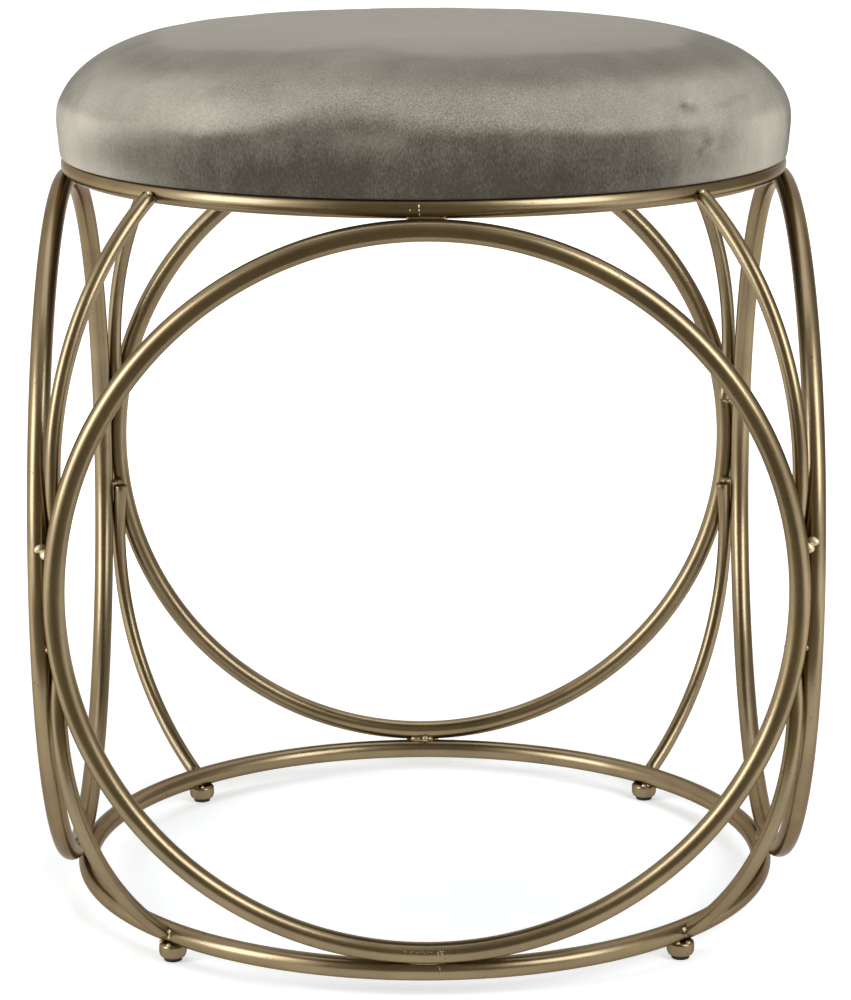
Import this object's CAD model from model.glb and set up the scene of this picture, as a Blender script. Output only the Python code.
import math

import bmesh
import bpy
import numpy as np
from mathutils import Matrix, Vector, kdtree, noise


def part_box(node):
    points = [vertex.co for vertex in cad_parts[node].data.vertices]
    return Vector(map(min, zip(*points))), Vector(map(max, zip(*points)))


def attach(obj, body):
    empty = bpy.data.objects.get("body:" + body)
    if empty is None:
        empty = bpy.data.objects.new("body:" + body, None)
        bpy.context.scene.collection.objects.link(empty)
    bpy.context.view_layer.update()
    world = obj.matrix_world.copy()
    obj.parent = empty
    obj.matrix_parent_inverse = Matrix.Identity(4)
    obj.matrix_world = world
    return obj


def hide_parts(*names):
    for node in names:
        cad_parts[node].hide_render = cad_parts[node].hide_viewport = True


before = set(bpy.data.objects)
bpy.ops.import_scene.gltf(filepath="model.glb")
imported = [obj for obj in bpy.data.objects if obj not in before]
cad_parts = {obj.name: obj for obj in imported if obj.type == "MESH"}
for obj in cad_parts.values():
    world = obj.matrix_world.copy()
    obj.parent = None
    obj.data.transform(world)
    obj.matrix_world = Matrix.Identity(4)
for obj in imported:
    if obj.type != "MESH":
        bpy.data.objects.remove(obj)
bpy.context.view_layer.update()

MM = 0.001
QUARTER = math.pi / 2
HALF_TURN = 2 * QUARTER
WHOLE_TURN = 4 * QUARTER
MERGE_DISTANCE = 0.001 * MM  # points nearer than this become one

# Sizes of the cage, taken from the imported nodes
ring_low, ring_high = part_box("top_ring")
TUBE_RADIUS = (ring_high.z - ring_low.z) / 2
RING_RADIUS = ring_high.x - TUBE_RADIUS
SEAT_BASE = ring_high.z
TOP_RING_HEIGHT = SEAT_BASE - TUBE_RADIUS
BOTTOM_RING_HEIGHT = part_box("bottom_ring")[0].z + TUBE_RADIUS
MID_HEIGHT = (TOP_RING_HEIGHT + BOTTOM_RING_HEIGHT) / 2
RING_RISE = TOP_RING_HEIGHT - MID_HEIGHT
circle_low, circle_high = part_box("front_circle")
CIRCLE_PLANE = -(circle_low.y + circle_high.y) / 2
CIRCLE_RADIUS = (circle_high.z - circle_low.z) / 2 - TUBE_RADIUS

SIDES = {"front": 0, "right": QUARTER, "back": HALF_TURN, "left": 3 * QUARTER}
CORNERS = {
    "front_right": -QUARTER / 2,
    "back_right": QUARTER / 2,
    "back_left": 3 * QUARTER / 2,
    "front_left": 5 * QUARTER / 2,
}
# Each level of the corner rods, and whether it is the upper one turned over
LEVELS = {"upper": False, "lower": True}

# Corner rods, as in the solids
ROD_RADIUS = 4 * MM
ROD_END_HEIGHT = 26 * MM
ROD_CLEARANCE = 0.3 * MM
ROD_FIT_UP = 0.5 * MM
ROD_BOW = 24 * MM
ROD_LANDING_ANGLE = math.radians(25)
ROD_TIP_REACH = 4 * MM
ROD_END_EDGE = 0.4 * MM

# Feet
FOOT_RADIUS = 7.25 * MM
PAD_RADIUS = 4.8 * MM
PAD_SHOW = 2.3 * MM
PAD_SEAT_DEPTH = 1.4 * MM
PAD_EDGE = 0.5 * MM
PAD_CLEARANCE = 0.3 * MM
PAD_INSIDE = 1 * MM  # of the pad, up in its seat
FOOT_LAP = 0.6 * MM  # the foot's top laps this far up round the ring
FOOT_TOP = BOTTOM_RING_HEIGHT - TUBE_RADIUS + FOOT_LAP
FOOT_ROUND = 3.3 * MM  # rounding from the pad out to the foot's side
FOOT_SHOULDER = 2 * MM  # rounding of its top edge
FOOT_RIM = 0.5 * MM  # flat of the foot round its pad

# Seat
seat_low, seat_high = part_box("seat_cover")
SEAT_RADIUS = seat_high.x
SEAT_WIDEST = 22 * MM  # height of the widest part over the ring
SEAT_TUCK = 2 * MM  # the side draws in this much at its base
SEAT_RISE = seat_high.z - SEAT_BASE - SEAT_WIDEST
SEAT_UNDERSIDE = seat_low.z - SEAT_BASE
SEAT_EDGE = 1.4 * MM
STAPLES = 36
# The crown follows (radius share)^flatness + (height share)^roundness = 1.
CROWN_FLATNESS = 5.9
CROWN_ROUNDNESS = 1.5

# Facets
TUBE_SIDES = 32
HOOP_STEPS = 192
ROD_SIDES = 24
ROD_STEPS = 48
TURNED_STEPS = 48
SCREW_STEPS = 32
SEAT_STEPS = 480
CLOTH_STEPS = 192


# Materials


def linear(colour):
    """A colour written as sRGB hex, in linear light with full alpha."""
    parts = [int(colour[i : i + 2], 16) / 255 for i in (1, 3, 5)]
    return [c / 12.92 if c <= 0.04045 else ((c + 0.055) / 1.055) ** 2.4 for c in parts] + [1]


def add(tree, kind, inputs=None, **settings):
    """Adds a node. Each input, by name or number, gets a value or a link from another socket."""
    made = tree.nodes.new("ShaderNode" + kind)
    for key, value in settings.items():
        setattr(made, key, value)
    for key, value in (inputs or {}).items():
        if isinstance(value, bpy.types.NodeSocket):
            tree.links.new(value, made.inputs[key])
        else:
            made.inputs[key].default_value = value
    return made


def new_material(name):
    material = bpy.data.materials.new(name)
    material.use_nodes = True
    material.node_tree.nodes.clear()
    return material, material.node_tree


def per(millimetres):
    """Scale of a noise or a voronoi whose features are this far apart."""
    return 1 / (millimetres * MM)


def satin_antique_brass(name, body, shade, roughness, grain_depth, lacquer=0.28):
    """Steel plated with brass, darkened and lacquered to a satin: a warm metal, never mirror
    bright, whose plating drifts a little in tone and has a fine dull grain."""
    material, tree = new_material(name)
    place = add(tree, "TexCoord").outputs["Object"]
    drift = add(tree, "TexNoise", {"Vector": place, "Scale": per(35), "Detail": 3.0})
    grain = add(tree, "TexNoise", {"Vector": place, "Scale": per(0.9), "Detail": 4.0, "Roughness": 0.7})
    specks = add(tree, "TexNoise", {"Vector": place, "Scale": per(2.6), "Detail": 1.0})
    speck = add(
        tree,
        "MapRange",
        {"Value": specks.outputs["Fac"], "From Min": 0.73, "From Max": 0.77, "To Max": 0.55},
    )
    tone = add(
        tree,
        "MapRange",
        {"Value": drift.outputs["Fac"], "From Min": 0.35, "From Max": 0.65},
    )
    colour = add(
        tree,
        "Mix",
        {0: tone.outputs[0], 6: linear(body), 7: linear(shade)},
        data_type="RGBA",
    )
    specked = add(
        tree,
        "Mix",
        {0: speck.outputs[0], 6: colour.outputs[2], 7: linear("#4A3B29")},
        data_type="RGBA",
    )
    dull = add(
        tree,
        "MapRange",
        {
            "Value": grain.outputs["Fac"],
            "From Min": 0.3,
            "From Max": 0.7,
            "To Min": roughness - 0.04,
            "To Max": roughness + 0.05,
        },
    )
    bump = add(
        tree,
        "Bump",
        {"Height": grain.outputs["Fac"], "Strength": 0.2, "Distance": grain_depth * MM},
    )
    surface = add(
        tree,
        "BsdfPrincipled",
        {
            "Base Color": specked.outputs[2],
            "Metallic": 1.0,
            "Roughness": dull.outputs[0],
            "Specular Tint": linear("#A08E69"),
            "Coat Weight": lacquer,
            "Coat IOR": 2.2,
            "Coat Roughness": 0.2,
            "Normal": bump.outputs[0],
        },
    )
    add(tree, "OutputMaterial", {"Surface": surface.outputs[0]})
    return material


def moulded_rubber():
    """Black rubber from a matt mould: dark, slightly dusty, with no shine."""
    material, tree = new_material("moulded_black_rubber")
    place = add(tree, "TexCoord").outputs["Object"]
    dust = add(tree, "TexNoise", {"Vector": place, "Scale": per(1.5), "Detail": 5.0})
    colour = add(
        tree,
        "Mix",
        {0: dust.outputs["Fac"], 6: linear("#161514"), 7: linear("#2C2A28")},
        data_type="RGBA",
    )
    bump = add(tree, "Bump", {"Height": dust.outputs["Fac"], "Strength": 0.3, "Distance": 0.05 * MM})
    surface = add(
        tree,
        "BsdfPrincipled",
        {"Base Color": colour.outputs[2], "Roughness": 0.78, "Normal": bump.outputs[0]},
    )
    add(tree, "OutputMaterial", {"Surface": surface.outputs[0]})
    return material


def zinc_plate():
    """Bright zinc plating on steel screws and staples: cool grey, lightly spangled."""
    material, tree = new_material("zinc_plated_steel")
    place = add(tree, "TexCoord").outputs["Object"]
    spangle = add(tree, "TexVoronoi", {"Vector": place, "Scale": per(0.8)})
    colour = add(
        tree,
        "Mix",
        {0: spangle.outputs["Distance"], 6: linear("#A9A79E"), 7: linear("#C9C7BF")},
        data_type="RGBA",
    )
    rough = add(
        tree,
        "MapRange",
        {"Value": spangle.outputs["Distance"], "From Max": 0.8, "To Min": 0.28, "To Max": 0.42},
    )
    surface = add(
        tree,
        "BsdfPrincipled",
        {"Base Color": colour.outputs[2], "Metallic": 1.0, "Roughness": rough.outputs[0]},
    )
    add(tree, "OutputMaterial", {"Surface": surface.outputs[0]})
    return material


def brushed_velvet():
    """Short-pile polyester velvet in taupe grey. Where the nap lies towards the eye it looks dark
    and where it lies away it looks pale, so the colour follows the painted lie of the nap; the
    pile ends catch a soft sheen at a slant, and short vertical streaks show the fibres."""
    material, tree = new_material("brushed_taupe_velvet")
    place = add(tree, "TexCoord").outputs["Object"]
    lie = add(tree, "Attribute", attribute_name="nap").outputs["Fac"]
    brush = add(tree, "Attribute", attribute_name="brush").outputs["Fac"]
    # The pile's tufts stand about 0.2 mm apart, and are drawn 0.7 mm apart so that they show.
    along = add(tree, "Mapping", {"Vector": place, "Scale": (1.0, 1.0, 0.35)})
    pile = add(
        tree,
        "TexNoise",
        {"Vector": along.outputs[0], "Scale": per(0.7), "Detail": 3.0, "Roughness": 0.7},
    )
    cloud = add(
        tree,
        "TexNoise",
        {"Vector": place, "Scale": per(24), "Detail": 5.0, "Roughness": 0.6, "Distortion": 0.4},
    )
    cloud_lie = add(
        tree,
        "MapRange",
        {
            "Value": cloud.outputs["Fac"],
            "From Min": 0.3,
            "From Max": 0.7,
            "To Min": -0.02,
            "To Max": 0.02,
        },
    )
    pile_lie = add(
        tree,
        "MapRange",
        {
            "Value": pile.outputs["Fac"],
            "From Min": 0.3,
            "From Max": 0.7,
            "To Min": -0.3,
            "To Max": 0.3,
        },
    )
    brushed = add(tree, "Math", {0: pile_lie.outputs[0], 1: brush}, operation="MULTIPLY")
    with_cloud = add(tree, "Math", {0: lie, 1: cloud_lie.outputs[0]}, operation="ADD")
    with_pile = add(tree, "Math", {0: with_cloud.outputs[0], 1: brushed.outputs[0]}, operation="ADD")
    colour = add(tree, "ValToRGB", {"Fac": with_pile.outputs[0]})
    ramp = colour.color_ramp
    ramp.elements[0].color = linear("#463F34")
    ramp.elements[1].color = linear("#C6BBAA")
    for position, tone in ((0.25, "#716B5E"), (0.5, "#938B7D"), (0.75, "#ADA494")):
        ramp.elements.new(position).color = linear(tone)
    bump = add(tree, "Bump", {"Height": pile.outputs["Fac"], "Strength": 0.25, "Distance": 0.25 * MM})
    surface = add(
        tree,
        "BsdfPrincipled",
        {
            "Base Color": colour.outputs[0],
            "Roughness": 0.92,
            "Specular IOR Level": 0.2,
            "Sheen Weight": 0.25,
            "Sheen Roughness": 0.35,
            "Sheen Tint": linear("#D8D2C4"),
            "Normal": bump.outputs[0],
        },
    )
    add(tree, "OutputMaterial", {"Surface": surface.outputs[0]})
    return material


def upholstery_foam():
    """Open-cell polyurethane foam, cut: cream, matt, full of small round cells."""
    material, tree = new_material("cut_polyurethane_foam")
    place = add(tree, "TexCoord").outputs["Object"]
    cells = add(tree, "TexVoronoi", {"Vector": place, "Scale": per(1.4)})
    colour = add(
        tree,
        "Mix",
        {0: cells.outputs["Distance"], 6: linear("#CFC391"), 7: linear("#EFE6BE")},
        data_type="RGBA",
    )
    bump = add(
        tree,
        "Bump",
        {"Height": cells.outputs["Distance"], "Strength": 0.6, "Distance": 0.4 * MM},
    )
    surface = add(
        tree,
        "BsdfPrincipled",
        {"Base Color": colour.outputs[2], "Roughness": 0.95, "Normal": bump.outputs[0]},
    )
    add(tree, "OutputMaterial", {"Surface": surface.outputs[0]})
    return material


def birch_plywood():
    """Sanded birch plywood: pale long grain on the faces and thin darker glue lines at the edge."""
    material, tree = new_material("sanded_birch_plywood")
    place = add(tree, "TexCoord").outputs["Object"]
    long_grain = add(tree, "Mapping", {"Vector": place, "Scale": (0.08, 1.0, 1.0)})
    grain = add(
        tree,
        "TexNoise",
        {"Vector": long_grain.outputs[0], "Scale": per(2.5), "Detail": 5.0, "Roughness": 0.6},
    )
    # The veneers are 1.4 mm thick. A wave comes round each WHOLE_TURN / 20 of its scaled place, so
    # the glue lines are drawn 8.8 mm apart, coarser than they are.
    plies = add(
        tree,
        "TexWave",
        {"Vector": place, "Scale": per(1.4) / 20},
        bands_direction="Z",
        wave_profile="SIN",
    )
    glue = add(
        tree,
        "MapRange",
        {"Value": plies.outputs["Fac"], "From Min": 0.85, "To Max": 0.5},
    )
    wood = add(
        tree,
        "Mix",
        {0: grain.outputs["Fac"], 6: linear("#B88F5E"), 7: linear("#DCC096")},
        data_type="RGBA",
    )
    colour = add(
        tree,
        "Mix",
        {0: glue.outputs[0], 6: wood.outputs[2], 7: linear("#7C5B39")},
        data_type="RGBA",
    )
    bump = add(tree, "Bump", {"Height": grain.outputs["Fac"], "Strength": 0.2, "Distance": 0.1 * MM})
    surface = add(
        tree,
        "BsdfPrincipled",
        {"Base Color": colour.outputs[2], "Roughness": 0.65, "Normal": bump.outputs[0]},
    )
    add(tree, "OutputMaterial", {"Surface": surface.outputs[0]})
    return material


def spunbond_cloth():
    """Black spunbonded polypropylene, heat-sealed in small points: a felt-like sheet with a faint
    shine on its fibres and rows of dimples."""
    material, tree = new_material("black_spunbond_cloth")
    place = add(tree, "TexCoord").outputs["Object"]
    fibre = add(tree, "TexNoise", {"Vector": place, "Scale": per(0.7), "Detail": 5.0, "Distortion": 2.0})
    # The bond points sit 2 mm apart.
    points = add(tree, "TexVoronoi", {"Vector": place, "Scale": per(2), "Randomness": 0.0})
    colour = add(
        tree,
        "Mix",
        {0: fibre.outputs["Fac"], 6: linear("#141414"), 7: linear("#333231")},
        data_type="RGBA",
    )
    dimple = add(
        tree,
        "MapRange",
        {"Value": points.outputs["Distance"], "From Min": 0.15, "From Max": 0.35},
    )
    bump = add(tree, "Bump", {"Height": dimple.outputs[0], "Strength": 0.5, "Distance": 0.15 * MM})
    surface = add(
        tree,
        "BsdfPrincipled",
        {
            "Base Color": colour.outputs[2],
            "Roughness": 0.8,
            "Sheen Weight": 0.15,
            "Normal": bump.outputs[0],
        },
    )
    add(tree, "OutputMaterial", {"Surface": surface.outputs[0]})
    return material


brass = satin_antique_brass("satin_antique_brass", "#85724F", "#786545", 0.31, 0.05)
weld_brass = satin_antique_brass("plated_weld_bead", "#9A8860", "#83724C", 0.45, 0.1)
lump_brass = satin_antique_brass("pale_weld_lump", "#DCD1B0", "#C2B590", 0.54, 0.1, 0.05)
rubber = moulded_rubber()
zinc = zinc_plate()
velvet = brushed_velvet()
foam = upholstery_foam()
plywood = birch_plywood()
spunbond = spunbond_cloth()


# Making pieces


def finish_piece(bm, name, material, nodes=(), sharp=40):
    """A bmesh as a finished piece of the stool: smooth but for edges sharper than an angle."""
    bmesh.ops.remove_doubles(bm, verts=bm.verts, dist=MERGE_DISTANCE)
    bmesh.ops.recalc_face_normals(bm, faces=bm.faces)
    mesh = bpy.data.meshes.new(name)
    bm.to_mesh(mesh)
    bm.free()
    mesh.materials.append(material)
    mesh.polygons.foreach_set("use_smooth", [True] * len(mesh.polygons))
    mesh.set_sharp_from_angle(angle=math.radians(sharp))
    piece = bpy.data.objects.new(name, mesh)
    bpy.context.scene.collection.objects.link(piece)
    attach(piece, "root")
    if nodes:
        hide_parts(*nodes)
    return piece


def apply_modifiers(piece):
    """Makes a piece's mesh what its modifiers give."""
    graph = bpy.context.evaluated_depsgraph_get()
    made = bpy.data.meshes.new_from_object(piece.evaluated_get(graph))
    piece.modifiers.clear()
    old = piece.data
    piece.data = made
    made.name = old.name
    bpy.data.meshes.remove(old)


def mm(x, y, z):
    """A size or a place given in millimetres."""
    return Vector((x, y, z)) * MM


def swing(bm, angle, axis, verts=None):
    """Turns a bmesh, or some of its points, about an axis through the origin."""
    bmesh.ops.rotate(bm, verts=verts or bm.verts, matrix=Matrix.Rotation(angle, 3, axis))


def shift(bm, move, verts=None):
    """Moves a bmesh, or some of its points."""
    bmesh.ops.translate(bm, verts=verts or bm.verts, vec=move)


def turn_and_lift(bm, turn=0.0, lift=0.0, flip=False):
    """From a corner's or a side's own frame into the stool's: over about X, round Z, up."""
    if flip:
        swing(bm, HALF_TURN, "X")
    swing(bm, turn, "Z")
    shift(bm, (0, 0, lift))


def spin_whole(bm, steps):
    """Spins everything in a bmesh once round +Z."""
    bmesh.ops.spin(
        bm,
        geom=bm.verts[:] + bm.edges[:],
        cent=(0, 0, 0),
        axis=(0, 0, 1),
        angle=WHOLE_TURN,
        steps=steps,
        use_merge=True,
    )


def spun(profile, steps=TURNED_STEPS):
    """A solid turned about +Z from an open profile of (radius, height) whose ends lie on the axis."""
    bm = bmesh.new()
    verts = [bm.verts.new((radius, 0, height)) for radius, height in profile]
    for first, second in zip(verts, verts[1:]):
        bm.edges.new((first, second))
    spin_whole(bm, steps)
    bmesh.ops.remove_doubles(bm, verts=bm.verts, dist=MERGE_DISTANCE)
    return bm


# Cage


def hoop(radius):
    """A closed ring of tube about +Z."""
    bm = bmesh.new()
    bmesh.ops.create_circle(bm, cap_ends=False, segments=TUBE_SIDES, radius=TUBE_RADIUS)
    swing(bm, QUARTER, "X")
    shift(bm, (radius, 0, 0))
    spin_whole(bm, HOOP_STEPS)
    return bm


def rings_and_circles():
    for name, height in (("top_ring", TOP_RING_HEIGHT), ("bottom_ring", BOTTOM_RING_HEIGHT)):
        bm = hoop(RING_RADIUS)
        turn_and_lift(bm, lift=height)
        finish_piece(bm, name + "_tube", brass, [name])
    for side, turn in SIDES.items():
        bm = hoop(CIRCLE_RADIUS)
        swing(bm, QUARTER, "X")
        shift(bm, (0, -CIRCLE_PLANE, 0))
        turn_and_lift(bm, turn, MID_HEIGHT)
        finish_piece(bm, side + "_circle_tube", brass, [side + "_circle"])


def groove(height):
    """How far out the two circles of a corner are at a height, and how far to each side."""
    reach = math.sqrt(CIRCLE_RADIUS**2 - height**2)
    return (CIRCLE_PLANE + reach) / math.sqrt(2), (CIRCLE_PLANE - reach) / math.sqrt(2)


def rod_arc():
    """Centre, radius and end angles of an upper rod's arc in its corner's XZ plane."""
    distance, half_width = groove(ROD_END_HEIGHT)
    pitch = TUBE_RADIUS + ROD_RADIUS + ROD_CLEARANCE
    start = Vector((distance - math.sqrt((pitch + ROD_FIT_UP) ** 2 - half_width**2), ROD_END_HEIGHT))
    landing = Vector(
        (
            RING_RADIUS + pitch * math.cos(ROD_LANDING_ANGLE),
            RING_RISE - pitch * math.sin(ROD_LANDING_ANGLE),
        )
    )
    chord = landing - start
    outward = Vector((chord.y, -chord.x)).normalized()
    radius = ((chord.length / 2) ** 2 + ROD_BOW**2) / (2 * ROD_BOW)
    centre = (start + landing) / 2 + outward * (ROD_BOW - radius)
    first = math.atan2(start.y - centre.y, start.x - centre.x)
    last = math.atan2(landing.y - centre.y, landing.x - centre.x) + ROD_TIP_REACH / radius
    return centre, radius, first, last


ROD_CENTRE, ROD_BEND, ROD_FIRST, ROD_LAST = rod_arc()


def rods():
    for corner, turn in CORNERS.items():
        for level, flip in LEVELS.items():
            bm = bmesh.new()
            bmesh.ops.create_circle(bm, cap_ends=False, segments=ROD_SIDES, radius=ROD_RADIUS)
            shift(bm, (ROD_BEND, 0, 0))
            swing(bm, -ROD_FIRST, "Y")
            shift(bm, (ROD_CENTRE.x, 0, ROD_CENTRE.y))
            bmesh.ops.spin(
                bm,
                geom=bm.verts[:] + bm.edges[:],
                cent=(ROD_CENTRE.x, 0, ROD_CENTRE.y),
                axis=(0, -1, 0),
                angle=ROD_LAST - ROD_FIRST,
                steps=ROD_STEPS,
            )
            bmesh.ops.remove_doubles(bm, verts=bm.verts, dist=MERGE_DISTANCE)
            open_edges = [e for e in bm.edges if e.is_boundary]
            bmesh.ops.holes_fill(bm, edges=open_edges, sides=ROD_SIDES)
            rims = [e for f in bm.faces if len(f.verts) > 4 for e in f.edges]
            bmesh.ops.bevel(
                bm, geom=rims, offset=ROD_END_EDGE, segments=2, profile=0.5, affect="EDGES", material=-1
            )
            turn_and_lift(bm, turn, MID_HEIGHT, flip)
            rod = f"{corner}_{level}_rod"
            finish_piece(bm, rod + "_bar", brass, [rod])


# Welds

WELD_PITCH = 1.6 * MM  # between the ribs of a bead
LUMP_PITCH = 2.4  # millimetres between the bumps of a lump
MELT_VOXEL = 0.3 * MM

# Beads in the two crotches where a circle meets a ring, and the drop under the back one. The
# places run from the line where the two tubes touch.
OUTER_BEAD = mm(20, 3.2, 3)
OUTER_BEAD_OUT = 0.9 * MM
INNER_BEAD = mm(15, 5.6, 5.2)
INNER_BEAD_IN = 2.1 * MM
NECK_DROP = mm(4.8, 4.4, 5)
NECK_DROP_IN = 3.4 * MM
NECK_DROP_ALONG = 1.8 * MM

# Weld metal at a rod's inner end
FILLET = mm(2.6, 2.6, 15)
FILLET_UNEVEN = 2 * MM
FILLET_IN = 0.3 * MM
FILLET_APART = 0.2 * MM
FILLET_UP = 4.5 * MM
MOUND = mm(8.4, 7.4, 4.2)
MOUND_IN = 3.4 * MM
MOUND_DOWN = 1.2 * MM
PROUD_PAIR_UP = {"front_right": 1 * MM, "front_left": -1.4 * MM}
PROUD_LUMP = mm(6.6, 5.2, 5)
PROUD_LUMP_UNLIKE = 0.5 * MM  # one of a pair is this much larger than that, the other smaller
PROUD_LUMP_OUT = 2.5 * MM
PROUD_LUMP_APART = 2.1 * MM
PROUD_LUMP_STEP = 1.2 * MM
DRESSED_LUMP = mm(7.4, 4.4, 4.6)
DRESSED_LUMP_IN = 0.6 * MM
DRESSED_LUMP_ASIDE = 0.5 * MM
DRESSED_LUMP_DOWN = 0.4 * MM

# Weld metal at a rod's outer end
TIP_CROTCH_GAP = 0.5 * MM
TIP_FILLET = mm(6, 1.7, 1.9)
TIP_FILLET_UNEVEN = 1.2 * MM
TIP_FILLET_APART = 3.1 * MM
TIP_LUMP_OUT = 2.4 * MM
TIP_LUMPS = ((1.5, 3.4), (-1.1, 2.6))  # each one's place across the rod and its width, millimetres
TIP_BEAD = mm(2.4, 2.2, 2.3)
TIP_BEAD_OUT = 0.4 * MM
TIP_BEAD_APART = 3.9 * MM
TIP_BEAD_DOWN = 0.6 * MM
TIP_TAIL_WIDTH = mm(1.6, 1.2, 0)
TIP_TAIL_IN = 0.4 * MM
TIP_TAIL_HEIGHT = {"front_right": 2 * MM, "front_left": 4.6 * MM}

# What is left of a ground seam: scraps of weld metal, each given by its place along the tube in
# millimetres, its angle round the tube in degrees, its height and its width in millimetres
SCRAP_DEPTH = 0.5
TOP_SEAM_ALONG = -3.6 * MM
TOP_SEAM = ((0, 14, 1.7, 0.7), (0.1, -8, 1.5, 0.6), (0.3, -32, 1.2, 0.5), (-4.2, -7, 0.7, 0.8))
BOTTOM_SEAM_ALONG = 6 * MM
BOTTOM_SEAM = ((0, 24, 1.8, 0.6), (0.2, -4, 1.4, 0.5), (-0.7, 38, 0.8, 0.8))
CIRCLE_SEAM_ALONG = 6.4 * MM


def lump(bm, centre, size, seed, ripple=0.0, turn=None, uneven=0.09):
    """One lump of weld metal, uneven and, with a ripple, ribbed along X."""
    made = bmesh.ops.create_icosphere(bm, subdivisions=4, radius=0.5)
    verts = made["verts"]
    bmesh.ops.scale(bm, verts=verts, vec=size)
    for vert in verts:
        rough = noise.noise(vert.co * per(LUMP_PITCH) + Vector((seed * 7.3, seed * 3.1, seed)))
        rib = ripple * math.cos(WHOLE_TURN * vert.co.x / WELD_PITCH)
        vert.co *= 1 + uneven * rough
        vert.co.y *= 1 + rib
        vert.co.z *= 1 + rib
    if turn is not None:
        bmesh.ops.rotate(bm, verts=verts, matrix=turn)
    shift(bm, centre, verts)


def ring_welds():
    """Beads in the two crotches where each circle meets a ring."""
    step = Vector((0, RING_RADIUS - CIRCLE_PLANE, RING_RISE - CIRCLE_RADIUS))
    touch = Vector((0, -(CIRCLE_PLANE + RING_RADIUS) / 2, (CIRCLE_RADIUS + RING_RISE) / 2))
    outward = Vector((0, -abs(step.z), abs(step.y))).normalized()
    for index, (side, turn) in enumerate(SIDES.items()):
        for level, flip in (("top", False), ("bottom", True)):
            bm = bmesh.new()
            seed = 2 * index + (1 if flip else 0)
            tilt = Matrix.Rotation(0.02 * (seed % 3 - 1), 3, "Z")
            lump(bm, touch + outward * OUTER_BEAD_OUT, OUTER_BEAD, seed, 0.03, turn=tilt)
            lump(bm, touch - outward * INNER_BEAD_IN, INNER_BEAD, seed + 20, 0.02)
            if flip:
                swing(bm, HALF_TURN, "Y")
            turn_and_lift(bm, turn, MID_HEIGHT)
            weld = f"{side}_{level}_weld"
            finish_piece(bm, weld + "_bead", brass, [weld])
    # A drop of weld metal hangs in the neck under the back circle, on its inner side.
    bm = bmesh.new()
    neck = touch - outward * NECK_DROP_IN + Vector((NECK_DROP_ALONG, 0, 0))
    lump(bm, neck, NECK_DROP, 61)
    swing(bm, HALF_TURN, "Y")
    turn_and_lift(bm, SIDES["back"], MID_HEIGHT)
    finish_piece(bm, "back_bottom_weld_drop", weld_brass)


def run_together(piece):
    """Melts a piece's overlapping lumps into one skin."""
    remesh = piece.modifiers.new("melt", "REMESH")
    remesh.mode = "VOXEL"
    remesh.voxel_size = MELT_VOXEL
    remesh.use_smooth_shade = True
    smooth = piece.modifiers.new("settle", "SMOOTH")
    smooth.factor = 0.6
    smooth.iterations = 4
    apply_modifiers(piece)


def corner_welds():
    """Weld metal round each rod's inner end: a fillet down both sides of the rod and a mound over
    its end. The two upper ones at the front stand proud in two lumps each, and the others are
    dressed back."""
    distance, half_width = groove(ROD_END_HEIGHT)
    rod_at = ROD_CENTRE.x + ROD_BEND * math.cos(ROD_FIRST)
    fillet_x = (rod_at + distance) / 2 - FILLET_IN
    fillet_y = half_width / 2 + FILLET_APART
    for index, (corner, turn) in enumerate(CORNERS.items()):
        for level, flip in LEVELS.items():
            bm = bmesh.new()
            seed = 3 * index + (11 if flip else 0)
            proud = not flip and corner.startswith("front")
            way = -1 if corner.endswith("left") else 1
            for side in (-1, 1):
                centre = (fillet_x, side * fillet_y, ROD_END_HEIGHT + FILLET_UP)
                size = FILLET + Vector((0, 0, FILLET_UNEVEN * math.sin(seed + side)))
                lump(bm, centre, size, seed + 2 + side)
            lump(bm, (distance - MOUND_IN, 0, ROD_END_HEIGHT - MOUND_DOWN), MOUND, seed + 9)
            if proud:
                middle = ROD_END_HEIGHT + PROUD_PAIR_UP[corner]
                for side in (-1, 1):
                    larger = -side * way * PROUD_LUMP_UNLIKE
                    up = middle + side * way * PROUD_LUMP_STEP
                    centre = (distance + PROUD_LUMP_OUT, side * PROUD_LUMP_APART, up)
                    size = PROUD_LUMP + Vector((0, larger, larger))
                    lump(bm, centre, size, seed + 5 + side, uneven=0.2)
            else:
                up = ROD_END_HEIGHT - DRESSED_LUMP_DOWN
                centre = (distance - DRESSED_LUMP_IN, way * DRESSED_LUMP_ASIDE, up)
                lump(bm, centre, DRESSED_LUMP, seed + 5)
            turn_and_lift(bm, turn, MID_HEIGHT, flip)
            weld = f"{corner}_{level}_weld"
            finish = lump_brass if proud else weld_brass
            piece = finish_piece(bm, weld + "_blob", finish, [weld])
            run_together(piece)


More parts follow.
